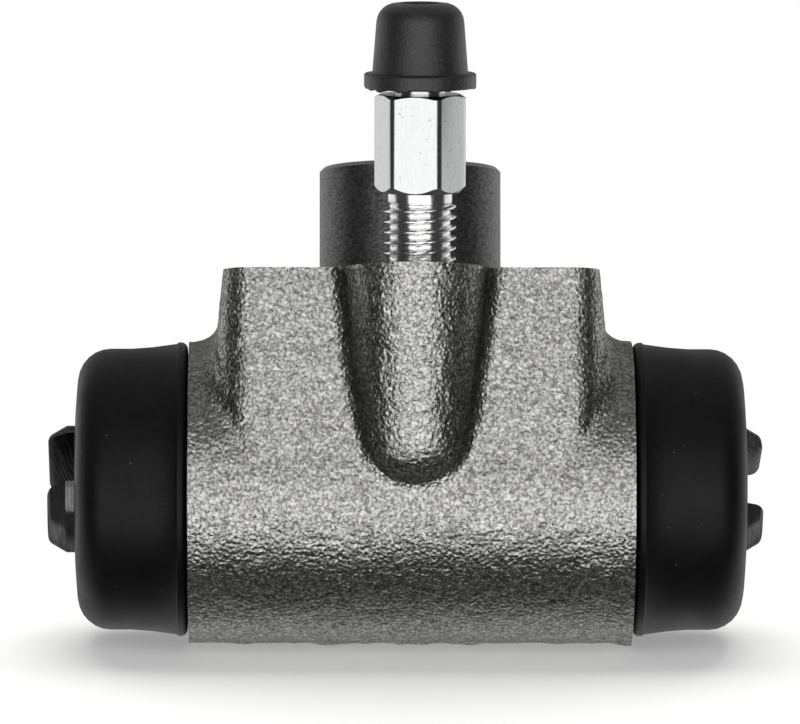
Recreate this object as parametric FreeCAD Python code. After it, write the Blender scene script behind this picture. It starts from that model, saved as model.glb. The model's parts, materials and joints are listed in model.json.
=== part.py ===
import FreeCAD, Part
import math
import os

from FreeCAD import Vector

# Wheel cylinder of a drum brake, in millimetres. An iron casting is bored right through and
# closed at each end by a piston, a rubber cup and a rubber boot. The origin is the centre of
# the machined mounting face, +Z points out of that face along the round pilot, and +X runs
# along the bore. The bleed screw stands in front of the pilot, towards -Y.

# Bore and cast body
bore_diameter = 19.05
bore_drop = 20.3  # from the mounting face down to the bore's axis
bore_mouth_chamfer = 0.6
body_length = 42.9
barrel_diameter = 29.2
barrel_drop = 0.3  # the rough barrel's axis lies this far below the bore's
column_length = 37.0
column_inset = 0.1  # the block's front and back lie this far inside the barrel's
column_corner = 2.5
column_root_fillet = 2.5
edge_break = 0.4

# Turned spigot at each end, which holds the boot's inner bead in a groove
spigot_diameter = 24.2
spigot_length = 4.8
bead_groove_diameter = 22.6
bead_groove_width = 1.6

# Pilot with the inlet port, and the two mounting holes beside it
pilot_diameter = 17.6
pilot_height = 11.0
pilot_chamfer = 0.4
inlet_diameter = 10.0
inlet_depth = 12.0
feed_diameter = 3.0
mount_hole_diameter = 6.0
mount_hole_depth = 7.5
mount_hole_spacing = 26.6
hole_chamfer = 0.5
drill_point_angle = 118.0

# Bleed boss and its drilling. Heights along the bleed axis start at the mounting face.
bleed_side = 0.75  # the bleed axis lies this far to the right of the pilot's
bleed_inset = 0.1  # and this far behind the block's front face, at the mounting face
bleed_tilt = 11.0  # degrees that the screw's head leans forward
bleed_boss_diameter = 14.2  # across the boss at the mounting face
bleed_boss_draft = 3.0  # degrees that the boss narrows downwards on each side
bleed_boss_drop = 15.5  # from the mounting face down to the centre of the boss's round end
bleed_boss_fillet = 1.8
bleed_relief_diameter = 15.0  # the boss's top is milled a little below the mounting face
bleed_relief_depth = 0.15
bleed_seat_depth = 10.5
bleed_seat_angle = 90.0
bleed_passage_diameter = 3.0
bleed_passage_bite = 0.76  # how far the passage cuts into the bore's wall

# Bleed screw
bleed_thread_diameter = 6.95
bleed_thread_clearance = 0.05
bleed_thread_foot = 7.0  # depth at which the thread ends
bleed_shank_diameter = 5.2
bleed_tip_diameter = 3.4
bleed_seat_gap = 0.1
neck_diameter = 6.2
neck_length = 1.2
hex_foot = 7.54
hex_length = 9.1
hex_across_flats = 8.0
hex_turn = -8.5
hex_chamfer_angle = 30.0
hex_face_diameter = 7.76  # where the chamfers start, a little inside the flats
nipple_neck_diameter = 4.8
nipple_neck_length = 2.2
nipple_barb_diameter = 6.4
nipple_tip_diameter = 5.0
nipple_length = 7.0
nipple_bore_diameter = 1.9
cross_hole_diameter = 1.6
cross_hole_depth = 9.2

# Rubber cap pushed over the nipple
cap_gap = 0.6  # between the hexagon and the cap
cap_height = 8.1
cap_flange_diameter = 10.74
cap_flange_height = 1.4
cap_foot_diameter = 9.17
cap_head_diameter = 8.13
cap_corner = 1.9
cap_flange_round = 0.3
cap_dimple_diameter = 4.1
cap_dimple_depth = 0.35
cap_clearance = 0.05
cap_headroom = 0.2  # between the nipple's tip and the cap's inside

# Pistons
piston_clearance = 0.04
piston_inner_end = 9.6  # from the middle of the bore, as are the two below
piston_shoulder = 25.0
piston_outer_end = 34.6
piston_shift = -0.5  # both pistons rest this far towards -X
piston_chamfer = 0.5
nose_diameter = 12.3
nose_waist_diameter = 12.0
nose_waist_length = 2.6
nose_tip_taper = 0.6
nose_tip_length = 1.2
lip_groove_diameter = 10.4
lip_groove_start = 2.5  # from the piston's shoulder
lip_groove_width = 1.5
slot_width = 5.7
slot_depth = 5.1
right_slot_angle = -12.0
left_slot_angle = -31.0

# Rubber cups and their spring expanders
cup_clearance = 0.03
cup_length = 6.0
cup_base = 2.8
cup_base_clearance = 0.2
cup_lip = 1.1
cup_root_wall = 2.1
cup_edge_taper = 1.0  # length over which the cup narrows towards its lip's edge
cup_edge_thinning = 0.3
cup_back_round = 0.3
cup_root_round = 0.5
seat_gap = 0.05
expander_thickness = 0.8
expander_rim_gap = 0.1
expander_rim_setback = 0.5
expander_base_diameter = 12.8
expander_stud_length = 1.4
expander_stud_round = 0.3

# Return spring between the expanders
spring_wire = 1.2
spring_diameter = 8.6  # to the middle of the wire
spring_turns = 5.5
spring_end_turns = 1.0
spring_end_gap = 0.1
spring_steps = 12  # sections to each turn
stud_clearance = 0.3

# Rubber boots
boot_gap = 0.12
boot_length = 11.2  # from the end of the cast body
boot_bead_diameter = 28.5
boot_bead_width = 0.9
boot_bead_inner_round = 0.25
boot_bead_outer_round = 0.2
boot_bead_slope = 0.15  # length over which the bead falls to the boot's foot
boot_foot_diameter = 28.2
boot_waist_diameter = 27.26
boot_waist_place = 5.5
boot_corner = 3.2
boot_crest_diameter = 16.2
boot_crest_round = 0.7
boot_crown = 0.45  # the end face falls away this much from crest to corner
boot_wall = 1.7
boot_fold_clearance = 0.2
boot_fold_depth = 3.0
boot_lip_wall = 0.9
boot_lip_round = 0.4
boot_fold_round = 0.6
boot_fit = 0.05

body_half = body_length / 2
bore_radius = bore_diameter / 2
column_depth = barrel_diameter - 2 * column_inset
bleed_front = column_depth / 2 - bleed_inset
bleed_axis = Vector(0, -math.sin(math.radians(bleed_tilt)), math.cos(math.radians(bleed_tilt)))
boss_cos = math.cos(math.radians(bleed_boss_draft))
boss_sin = math.sin(math.radians(bleed_boss_draft))
origin = Vector(0, 0, 0)
x_axis = Vector(1, 0, 0)
z_axis = Vector(0, 0, 1)
tolerance = 0.002
overshoot = 1.0  # how far a cutter or a joining piece runs past the face that it starts from
edge_samples = 6


def rounded_corner(before, point, after, radius):
    """Return the first, middle and last points of an arc that rounds one corner."""
    back = (before - point).normalize()
    on = (after - point).normalize()
    half = back.getAngle(on) / 2
    inward = (back + on).normalize()
    reach = radius / math.tan(half)
    return point + back * reach, point + inward * (radius / math.sin(half) - radius), point + on * reach


def outline(points):
    """Return a face in the XZ plane. A point is (x, z), or (x, z, radius) for a rounded corner."""
    places = [Vector(p[0], 0, p[1]) for p in points]
    corners = []
    for i, point in enumerate(points):
        if len(point) == 3:
            corners.append(rounded_corner(places[i - 1], places[i], places[(i + 1) % len(places)], point[2]))
        else:
            corners.append((places[i], None, places[i]))
    edges = []
    for i, (first, middle, last) in enumerate(corners):
        if middle is not None:
            edges.append(Part.Arc(first, middle, last).toShape())
        following = corners[(i + 1) % len(corners)][0]
        if (following - last).Length > tolerance:
            edges.append(Part.LineSegment(last, following).toShape())
    return Part.Face(Part.Wire(edges))


def turned(points, axis):
    """Return the solid that an outline sweeps when it turns about an axis through the origin."""
    return outline(points).revolve(origin, axis, 360)


def on_bore(shape, side, shift=0.0):
    """Put a piece made about +X on the bore, at the right end (1) or the left end (-1)."""
    placed = shape.copy()
    if side < 0:
        placed.rotate(origin, z_axis, 180)
    placed.translate(Vector(shift, 0, -bore_drop))
    return placed


def on_bleed_axis(shape):
    """Put a piece made about +Z on the leaning axis of the bleed screw."""
    placed = shape.copy()
    placed.rotate(origin, x_axis, bleed_tilt)
    placed.translate(Vector(bleed_side, -bleed_front, 0))
    return placed


def drilling(diameter, depth, chamfer=0.0):
    """Return a hole that a drill makes downwards from z = 0, with its conical bottom."""
    radius = diameter / 2
    point = radius / math.tan(math.radians(drill_point_angle / 2))
    points = [(0, overshoot), (radius + chamfer, overshoot), (radius + chamfer, 0)]
    if chamfer:
        points.append((radius, -chamfer))
    return turned(points + [(radius, -depth), (0, -depth - point)], z_axis)


def edges_where(shape, test):
    """Return the edges of a shape whose sampled points all pass a test."""
    chosen = []
    for edge in shape.Edges:
        span = edge.LastParameter - edge.FirstParameter
        places = [edge.FirstParameter + span * k / edge_samples for k in range(edge_samples + 1)]
        if all(test(edge.valueAt(place)) for place in places):
            chosen.append(edge)
    return chosen


def barrel():
    """Return the rough cast barrel, with the sharp edge broken at each end."""
    radius = barrel_diameter / 2
    half = body_half - edge_break
    solid = turned([(-body_half, 0), (-body_half, radius - edge_break), (-half, radius), (half, radius),
                    (body_half, radius - edge_break), (body_half, 0)], x_axis)
    solid.translate(Vector(0, 0, -bore_drop - barrel_drop))
    return solid


def column():
    """Return the block that joins the barrel to the mounting face, its upright corners rounded."""
    block = Part.makeBox(column_length, column_depth, bore_drop,
                         Vector(-column_length / 2, -column_depth / 2, -bore_drop))
    upright = [e for e in block.Edges if abs(e.tangentAt(e.FirstParameter).z) > 0.99]
    return block.makeFillet(column_corner, upright)


def on_barrel(point):
    """Tell whether a point lies on the barrel's rough surface, clear of its ends."""
    distance = math.hypot(point.y, point.z + bore_drop + barrel_drop)
    return abs(distance - barrel_diameter / 2) < tolerance and abs(point.x) < body_half - 2 * edge_break


def bleed_boss_end():
    """Return the radius of the boss's round end, which the drafted side meets without an edge."""
    return bleed_boss_diameter / 2 * boss_cos - bleed_boss_drop / bleed_axis.z * boss_sin


def bleed_boss():
    """Return the drafted, round-ended boss of the bleed screw, cut level with the mounting face."""
    radius = bleed_boss_end()
    centre = -bleed_boss_drop / bleed_axis.z
    top = bleed_boss_diameter
    foot_radius = radius * (1 - boss_sin) / boss_cos
    top_radius = (radius + (top - centre) * boss_sin) / boss_cos
    solid = turned([(0, centre - radius), (foot_radius, centre - radius, radius), (top_radius, top), (0, top)],
                   z_axis)
    above = Part.makeBox(4 * top, 4 * top, 2 * top,
                         Vector(bleed_side - 2 * top, -bleed_front - 2 * top, 0))
    return on_bleed_axis(solid).cut(above)


def on_bleed_boss(point):
    """Tell whether a point below the mounting face lies on the bleed boss's surface."""
    centre = Vector(bleed_side, -bleed_front, 0) - bleed_axis * (bleed_boss_drop / bleed_axis.z)
    offset = point - centre
    along = offset.dot(bleed_axis)
    across = (offset - bleed_axis * along).Length
    on_side = along * boss_cos + across * boss_sin > 0
    distance = across * boss_cos - along * boss_sin if on_side else offset.Length
    return abs(distance - bleed_boss_end()) < tolerance


def casting():
    """Return the rough casting: barrel, column and bleed boss, blended into one another."""
    rough = barrel().fuse(column()).removeSplitter()
    rough = rough.makeFillet(column_root_fillet, edges_where(rough, on_barrel))
    rough = rough.fuse(bleed_boss()).removeSplitter()
    below = [e for e in edges_where(rough, on_bleed_boss) if e.CenterOfMass.z < -tolerance]
    return rough.makeFillet(bleed_boss_fillet, below)


def bleed_hole():
    """Return the threaded hole of the bleed screw with the conical seat at its bottom."""
    radius = bleed_thread_diameter / 2 + bleed_thread_clearance
    point = radius / math.tan(math.radians(bleed_seat_angle / 2))
    return on_bleed_axis(turned([(0, radius), (radius, radius), (radius, -bleed_seat_depth),
                                 (0, -bleed_seat_depth - point)], z_axis))


def bleed_passage():
    """Return the passage that runs from the seat past the bore and opens into the bore's wall."""
    start = Vector(bleed_side, -bleed_front, 0) - bleed_axis * bleed_seat_depth
    to_bore = Vector(bleed_side, 0, -bore_drop) - start
    miss = bore_radius + bleed_passage_diameter / 2 - bleed_passage_bite
    swing = FreeCAD.Rotation(x_axis, -math.degrees(math.asin(miss / to_bore.Length)))
    length = math.sqrt(to_bore.Length ** 2 - miss ** 2)
    return Part.makeCylinder(bleed_passage_diameter / 2, length, start, swing.multVec(to_bore))


def make_housing():
    """Return the machined casting."""
    spigot_end = body_half + spigot_length
    spigot = spigot_diameter / 2
    spigots = turned([(-spigot_end, 0), (-spigot_end, spigot - edge_break), (edge_break - spigot_end, spigot),
                      (spigot_end - edge_break, spigot), (spigot_end, spigot - edge_break), (spigot_end, 0)],
                     x_axis)
    groove = turned([(body_half, bead_groove_diameter / 2), (body_half, spigot + overshoot),
                     (body_half + bead_groove_width, spigot + overshoot),
                     (body_half + bead_groove_width, bead_groove_diameter / 2)], x_axis)
    mouth = bore_radius + bore_mouth_chamfer
    bore = turned([(-spigot_end, 0), (-spigot_end, mouth), (bore_mouth_chamfer - spigot_end, bore_radius),
                   (spigot_end - bore_mouth_chamfer, bore_radius), (spigot_end, mouth), (spigot_end, 0)], x_axis)
    pilot = turned([(0, -overshoot), (pilot_diameter / 2, -overshoot),
                    (pilot_diameter / 2, pilot_height - pilot_chamfer),
                    (pilot_diameter / 2 - pilot_chamfer, pilot_height), (0, pilot_height)], z_axis)
    relief = Part.makeCylinder(bleed_relief_diameter / 2, bleed_relief_depth + overshoot,
                               Vector(bleed_side, -bleed_front, -bleed_relief_depth))
    # The pilot stands on the casting after the relief is milled, so its foot stays round
    body = casting().cut(relief).fuse([on_bore(spigots, 1), pilot])

    inlet = drilling(inlet_diameter, inlet_depth, hole_chamfer)
    inlet.translate(Vector(0, 0, pilot_height))
    feed = Part.makeCylinder(feed_diameter / 2, bore_drop, Vector(0, 0, -bore_drop))
    cuts = [on_bore(bore, 1), inlet, feed, bleed_hole(), bleed_passage()]
    for side in (-1, 1):
        hole = drilling(mount_hole_diameter, mount_hole_depth, hole_chamfer)
        hole.translate(Vector(side * mount_hole_spacing / 2, 0, 0))
        cuts += [on_bore(groove, side), hole]
    return body.cut(cuts).removeSplitter()


def hexagon():
    """Return the hexagon of the bleed screw, both of its ends chamfered by a cone."""
    corner_radius = hex_across_flats / math.sqrt(3)
    corners = [Vector(corner_radius * math.cos(math.radians(60 * k)),
                      corner_radius * math.sin(math.radians(60 * k)), hex_foot) for k in range(7)]
    prism = Part.Face(Part.makePolygon(corners)).extrude(z_axis * hex_length)
    prism.rotate(origin, z_axis, hex_turn)
    face = hex_face_diameter / 2
    wide = corner_radius + overshoot
    fall = (wide - face) * math.tan(math.radians(hex_chamfer_angle))
    head = hex_foot + hex_length
    chamfers = turned([(0, hex_foot), (face, hex_foot), (wide, hex_foot + fall), (wide, head - fall),
                       (face, head), (0, head)], z_axis)
    return prism.common(chamfers)


def nipple_end():
    """Return the height of the nipple's tip along the bleed axis."""
    return hex_foot + hex_length + nipple_length


def make_bleed_screw():
    """Return the bleed screw, hollow from the nipple's tip to a cross hole above its conical end."""
    thread = bleed_thread_diameter / 2
    shank = bleed_shank_diameter / 2
    tip = bleed_tip_diameter / 2
    slope = math.tan(math.radians(bleed_seat_angle / 2))
    # The cone runs parallel to its seat in the casting, with the seat gap measured along the axis
    seat = -bleed_seat_depth - (thread + bleed_thread_clearance) / slope + bleed_seat_gap
    head = hex_foot + hex_length
    barb = nipple_barb_diameter / 2
    barb_foot = head + nipple_neck_length
    profile = [(0, seat + tip / slope), (tip, seat + tip / slope), (shank, seat + shank / slope),
               (shank, -bleed_thread_foot - (thread - shank)), (thread, -bleed_thread_foot),
               (thread, hex_foot - neck_length - (thread - neck_diameter / 2)),
               (neck_diameter / 2, hex_foot - neck_length), (neck_diameter / 2, hex_foot + overshoot),
               (nipple_neck_diameter / 2, head - overshoot), (nipple_neck_diameter / 2, barb_foot - edge_break),
               (barb, barb_foot), (barb, barb_foot + edge_break),
               (nipple_tip_diameter / 2, nipple_end(), edge_break), (0, nipple_end())]
    screw = turned(profile, z_axis).fuse(hexagon())
    length = nipple_end() + cross_hole_depth
    drill = Part.makeCylinder(nipple_bore_diameter / 2, length, Vector(0, 0, -cross_hole_depth))
    cross = Part.makeCylinder(cross_hole_diameter / 2, 2 * thread, Vector(-thread, 0, -cross_hole_depth), x_axis)
    return on_bleed_axis(screw.cut([drill, cross]).removeSplitter())


def make_bleed_cap():
    """Return the rubber cap, open below and dimpled on top."""
    foot = hex_foot + hex_length + cap_gap
    head = foot + cap_height
    flange = cap_flange_diameter / 2
    dimple = cap_dimple_diameter / 2
    cavity = nipple_barb_diameter / 2 + cap_clearance
    profile = [(cavity, foot), (flange, foot, cap_flange_round),
               (flange, foot + cap_flange_height, cap_flange_round),
               (cap_foot_diameter / 2, foot + cap_flange_height), (cap_head_diameter / 2, head, cap_corner),
               (dimple, head), (dimple - cap_dimple_depth, head - cap_dimple_depth),
               (0, head - cap_dimple_depth), (0, nipple_end() + cap_headroom),
               (cavity, nipple_end() + cap_headroom)]
    return on_bleed_axis(turned(profile, z_axis))


def lip_groove():
    """Return where the boot's lip sits along the piston, as its start and end."""
    start = piston_shoulder + lip_groove_start
    return start, start + lip_groove_width


def make_piston(side):
    """Return a piston: a plain skirt in the bore and a slotted nose that pushes the brake shoe."""
    skirt = bore_radius - piston_clearance
    nose = nose_diameter / 2
    waist = nose_waist_diameter / 2
    groove_start, groove_end = lip_groove()
    end = piston_outer_end
    profile = [(piston_inner_end, 0), (piston_inner_end, skirt - piston_chamfer),
               (piston_inner_end + piston_chamfer, skirt), (piston_shoulder - piston_chamfer, skirt),
               (piston_shoulder, skirt - piston_chamfer), (piston_shoulder, nose),
               (groove_start, nose), (groove_start, lip_groove_diameter / 2),
               (groove_end, lip_groove_diameter / 2), (groove_end, nose),
               (end - nose_waist_length, nose), (end - nose_tip_length, waist),
               (end, waist - nose_tip_taper), (end, 0)]
    piston = on_bore(turned(profile, x_axis), side)
    slot = Part.makeBox(2 * slot_depth, 2 * nose_diameter, slot_width,
                        Vector(side * end - slot_depth, -nose_diameter, -slot_width / 2))
    slot.rotate(origin, x_axis, right_slot_angle if side > 0 else left_slot_angle)
    slot.translate(Vector(0, 0, -bore_drop))
    piston = piston.cut(slot)
    piston.translate(Vector(piston_shift, 0, 0))
    return piston


def make_cup(side):
    """Return a rubber cup, its lip turned towards the fluid."""
    back = piston_inner_end - seat_gap
    front = back - cup_length
    floor = back - cup_base
    wall = bore_radius - cup_clearance
    profile = [(back, 0), (back, wall - cup_base_clearance, cup_back_round), (front + cup_edge_taper, wall),
               (front, wall - cup_edge_thinning), (front, wall - cup_lip),
               (floor, wall - cup_root_wall, cup_root_round), (floor, 0)]
    return on_bore(turned(profile, x_axis), side, piston_shift)


def expander_face():
    """Return where the spring meets the expander, from the middle of the bore."""
    return piston_inner_end - 2 * seat_gap - cup_base - expander_thickness


def make_expander(side):
    """Return the pressed dish that spreads the cup's lip and carries the spring on its stud."""
    face = expander_face()
    back = face + expander_thickness
    base = expander_base_diameter / 2
    wall = bore_radius - cup_clearance - cup_lip - expander_rim_gap
    rim = piston_inner_end - seat_gap - cup_length + expander_rim_setback
    # The rim clears the cup's lip, which thickens from its edge towards its root
    slope = (cup_root_wall - cup_lip) / (cup_length - cup_base)
    edge = wall - slope * (expander_rim_setback + expander_thickness)
    stud = (spring_diameter - spring_wire) / 2 - stud_clearance
    profile = [(back, 0), (back, base), (rim + expander_thickness, edge), (rim, edge - expander_thickness / 2),
               (face, base - expander_thickness), (face, stud),
               (face - expander_stud_length, stud, expander_stud_round), (face - expander_stud_length, 0)]
    return on_bore(turned(profile, x_axis), side, piston_shift)


def make_spring():
    """Return the return spring, a ruled tube round a helix whose end turns lie almost closed."""
    length = 2 * (expander_face() - seat_gap) - spring_wire
    closed = spring_wire + spring_end_gap
    open_turns = spring_turns - 2 * spring_end_turns
    pitch = (length - 2 * spring_end_turns * closed) / open_turns
    radius = spring_diameter / 2
    rings = []
    for k in range(round(spring_turns * spring_steps) + 1):
        turn = k / spring_steps
        from_end = min(turn, spring_end_turns) + max(0, turn - spring_turns + spring_end_turns)
        x = from_end * closed + (turn - from_end) * pitch - length / 2
        angle = 2 * math.pi * turn
        centre = Vector(x, radius * math.cos(angle), radius * math.sin(angle))
        along = Vector(0, -math.sin(angle), math.cos(angle))
        rings.append(Part.Wire(Part.makeCircle(spring_wire / 2, centre, along)))
    return on_bore(Part.makeLoft(rings, True, True), 1, piston_shift)


def make_boot(side):
    """Return a rubber boot, from its bead in the spigot's groove to its lip in the piston's."""
    spigot = spigot_diameter / 2 + boot_fit
    bead = bead_groove_diameter / 2 + boot_fit
    end = body_half + boot_length
    waist = boot_waist_diameter / 2
    crest = boot_crest_diameter / 2
    nose = nose_diameter / 2 + boot_fold_clearance
    shift = side * piston_shift
    lip_start, lip_end = (place + shift for place in lip_groove())
    lip = lip_groove_diameter / 2 + boot_fit
    foot = body_half + boot_gap
    bead_end = body_half + bead_groove_width - boot_fit
    fold = end - boot_fold_depth
    inner_end = end - boot_crown - boot_wall
    profile = [(foot, bead), (foot, boot_bead_diameter / 2, boot_bead_inner_round),
               (foot + boot_bead_width, boot_bead_diameter / 2, boot_bead_outer_round),
               (foot + boot_bead_width + boot_bead_slope, boot_foot_diameter / 2),
               (body_half + boot_waist_place, waist), (end - boot_crown, waist, boot_corner),
               (end, crest, boot_crest_round), (fold, nose), (lip_end - boot_fit, nose),
               (lip_end - boot_fit, lip), (lip_start + boot_fit, lip),
               (lip_start + boot_fit, nose + boot_lip_wall, boot_lip_round),
               (inner_end, crest + boot_wall / 2, boot_fold_round),
               (inner_end, waist - boot_wall, boot_corner - boot_wall),
               (body_half + spigot_length, spigot), (bead_end, spigot), (bead_end, bead)]
    return on_bore(turned(profile, x_axis), side)


parts = {
    "housing": make_housing(),
    "bleed_screw": make_bleed_screw(),
    "bleed_cap": make_bleed_cap(),
    "spring": make_spring(),
}
for name, side in (("left", -1), ("right", 1)):
    parts[name + "_boot"] = make_boot(side)
    parts[name + "_piston"] = make_piston(side)
    parts[name + "_cup"] = make_cup(side)
    parts[name + "_expander"] = make_expander(side)

os.makedirs("parts", exist_ok=True)
for name, shape in parts.items():
    solid = shape.Solids[0] if len(shape.Solids) == 1 else shape
    solid.exportStep("parts/" + name + ".step")
    box = solid.BoundBox
    print(f"{name}: {len(shape.Solids)} solid, valid {solid.isValid()}, {solid.Volume:.1f} mm3, "
          f"x {box.XMin:.2f} to {box.XMax:.2f}, y {box.YMin:.2f} to {box.YMax:.2f}, "
          f"z {box.ZMin:.2f} to {box.ZMax:.2f}")
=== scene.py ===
import json
import math

import bmesh
import bpy
import numpy as np
from mathutils import Matrix, Vector, noise


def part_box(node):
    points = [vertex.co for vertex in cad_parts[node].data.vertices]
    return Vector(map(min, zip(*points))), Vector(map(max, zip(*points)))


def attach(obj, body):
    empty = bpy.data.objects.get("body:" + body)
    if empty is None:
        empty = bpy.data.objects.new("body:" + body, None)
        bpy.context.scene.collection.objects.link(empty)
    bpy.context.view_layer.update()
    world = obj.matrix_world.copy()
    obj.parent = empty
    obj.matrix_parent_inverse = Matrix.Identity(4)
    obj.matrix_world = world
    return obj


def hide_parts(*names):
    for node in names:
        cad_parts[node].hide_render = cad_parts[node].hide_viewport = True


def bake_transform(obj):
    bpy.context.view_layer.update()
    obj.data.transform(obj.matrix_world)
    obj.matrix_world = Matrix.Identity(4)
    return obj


# Looks of a drum brake's wheel cylinder. The frame is in metres and the sizes below are in
# millimetres: +Z points out of the mounting face, +X runs along the bore, and the bleed screw
# stands in front, towards -Y.

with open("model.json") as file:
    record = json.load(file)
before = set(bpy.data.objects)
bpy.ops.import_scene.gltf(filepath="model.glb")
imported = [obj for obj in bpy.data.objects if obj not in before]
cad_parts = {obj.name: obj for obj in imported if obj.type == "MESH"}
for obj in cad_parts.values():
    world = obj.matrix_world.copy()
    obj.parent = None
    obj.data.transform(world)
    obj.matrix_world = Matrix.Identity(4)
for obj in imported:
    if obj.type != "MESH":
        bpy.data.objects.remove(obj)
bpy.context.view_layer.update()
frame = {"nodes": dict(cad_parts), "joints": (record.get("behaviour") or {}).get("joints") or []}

MM = 0.001
# The kinds of node that are used most. A ramp takes a value, its span, and the span it becomes.
MATH = "ShaderNodeMath"
MIX = "ShaderNodeMix"
NOISE = "ShaderNodeTexNoise"
RAMP = "ShaderNodeMapRange"
bleed_joint = next(joint for joint in frame["joints"] if joint["name"] == "bleed_screw_turn")
bleed_foot = Vector(bleed_joint["pos_m"]) / MM
bleed_axis = Vector(bleed_joint["axis"]).normalized()
bleed_lean = math.asin(-bleed_axis.y)
spigot_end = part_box("housing")[1].x / MM
pilot_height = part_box("housing")[1].z / MM
bore_height = (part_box("right_piston")[0].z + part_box("right_piston")[1].z) / 2 / MM

# Material slots after the first, which is the casting's skin, the hexagon or the turned steel
milled_slot, turned_slot, pilot_slot, honed_slot = range(1, 5)
rolled_slot = 1
sawn_slot = 1

# Points nearer than the first are one, and slivers narrower than the second are dropped
same_point = 1e-5
sliver_width = 1e-4
# How far a shape reaches into or past another that it is joined to or cut from
overlap = 1.0

# Rough casting. Its column is the block between the mounting face and the barrel.
barrel_radius = 14.6
barrel_drop = 0.3
body_half = 21.45
column_half_width = 18.05
column_half_depth = 14.5
column_draft = 0.11
column_drafted_depth = 6.0
column_corner = 2.8
column_corner_growth = 0.18
column_root_fillet = 2.5
column_foot_taper = 0.5
column_foot_height = 1.3
column_end_depth = 2.0
boss_radius = 7.1
boss_draft = math.radians(3)
boss_drop = 15.5
boss_side = -0.4
boss_fillet = 1.8

# The space in which the casting's form is sampled, in Y and Z, and the step between samples
casting_low = (-22.5, -37.5)
casting_high = (17.0, 2.0)
casting_step = 0.3
casting_margin = 1.5
nearly_parallel = 0.95

# The casting's skin: the width, the height and the pattern's shift of its bumps, and its parting line
skin_bumps = ((4.5, 0.07, (0, 0, 0)), (1.3, 0.05, (7, 3, 1)), (0.65, 0.035, (2, 9, 5)))
parting_height = 0.4
parting_half_width = 0.35
parting_break = 2.2
parting_cover = 0.25
parting_shift = 3.7

# Machined places of the casting
edge_break = 0.4
relief_radius = 7.6
relief_depth = 0.15
spigot_radius = 12.1
bead_groove_radius = 11.3
bead_groove_width = 1.6
bore_radius = 9.525
mouth_chamfer = 0.6
pilot_radius = 8.8
pilot_chamfer = 0.4
pilot_root = 2.0
inlet_radius = 5.0
inlet_depth = 12.0
hole_chamfer = 0.5
feed_radius = 1.5
mount_hole_radius = 3.0
mount_hole_depth = 7.5
mount_hole_place = 13.3
bleed_hole_radius = 3.525
bleed_hole_depth = 10.5
drill_slope = math.tan(math.radians(59))
tap_drill_allowance = 0.05
tap_start = 0.5

# Threads. The crest and the root are in shares of the pitch, from the middle of the crest.
thread_pitch = 1.0
thread_depth = 0.54
thread_crest_end = 0.083
thread_root_start = 0.333
thread_rows = 12

# Bleed screw, in heights along its own axis
screw_thread_radius = 3.475
screw_thread_foot = -7.0
screw_thread_top = 6.4
screw_thread_phase = 0.6
screw_seat = -13.95
shank_radius = 2.6
screw_tip_radius = 1.7
neck_radius = 3.1
neck_start = 6.3
neck_flare = 0.3
hex_foot = 7.24
hex_length = 9.4
hex_across_flats = 7.9
hex_turn = math.radians(-8.5)
hex_corner = 1.0
hex_face_radius = 3.83
hex_foot_chamfer = math.radians(48)
hex_head_chamfer = math.radians(30)
nipple_neck_radius = 2.4
nipple_neck_length = 2.2
nipple_barb_radius = 3.2
nipple_tip_radius = 2.5
nipple_length = 7.0
nipple_bore_radius = 0.95
nipple_bore_foot = -9.2

# Rubber cap, with the torn flash under its flange and its wavy dimple
cap_gap = 0.6
cap_height = 8.1
cap_flange_radius = 5.37
cap_flange_height = 1.4
cap_edge_round = 0.2
cap_foot_radius = 4.585
cap_foot_round = 0.15
cap_head_radius = 4.065
cap_corner = 1.9
cap_dimple_radius = 2.05
cap_dimple_depth = 0.35
cap_dimple_round = 0.1
cap_cavity_radius = 3.25
cap_headroom = 0.2
flash_width = 0.35
flash_height = 0.3
flash_tear = 0.5
flash_whole = 0.1
dimple_wave = 0.08
# Both follow a noise on a ring, given by the ring's radius and its height in the noise
flash_ring = (5.0, 0.3)
dimple_ring = (2.0, 4.1)

# Pistons, in distances from the middle of the bore
piston_shift = -0.5
skirt_radius = 9.485
piston_inner_end = 9.6
piston_shoulder = 25.0
piston_outer_end = 34.6
piston_chamfer = 0.5
piston_edge_round = 0.16
nose_radius = 6.15
nose_slope_length = 1.8
nose_slope_round = 0.3
nose_face_radius = 5.1
nose_corner = 0.85
lip_groove_radius = 5.2
lip_groove_start = 27.5
lip_groove_width = 1.5
slot_width = 5.7
slot_depth = 5.1
slot_lip = 0.35
slot_mouth_round = 1.0
slot_mouth_flare = 2.0
slot_half_length = 9.0
slot_angles = {"left": math.radians(31), "right": math.radians(-12)}

# Boots, in distances from the middle of the bore. The shell and the lip lap at a seam in the crown.
boot_end = 32.4
boot_gap = 0.12
boot_fit = 0.05
boot_wall = 1.7
boot_bead_radius = 14.25
boot_bead_width = 0.9
boot_bead_round = 0.65
boot_shoulder_round = 0.2
boot_shoulder_rise = 0.15
boot_foot_radius = 14.1
boot_waist_radius = 13.63
boot_waist_place = 26.95
boot_waist_lead = 2.0
boot_waist_length = 1.5
boot_corner = 3.2
boot_crown = 0.45
boot_crest_width = 1.6
boot_crest_fall = 0.12
boot_seam_radius = 8.2
boot_seam_depth = 0.9
boot_seam_lap = 0.25
boot_seam_drop = 0.06
boot_lip_crest = 7.8
boot_lip_crest_round = 0.7
boot_lip_fold = 2.75
boot_lip_wall = 0.9
boot_lip_round = 0.4
boot_nose_gap = 0.2

# Return spring
spring_wire_radius = 0.6
spring_radius = 4.3
spring_turns = 5.5
spring_end_turns = 1.0
spring_closed_pitch = 1.3
spring_half_length = 5.25
spring_points = 90
spring_wire_sides = 16

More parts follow.
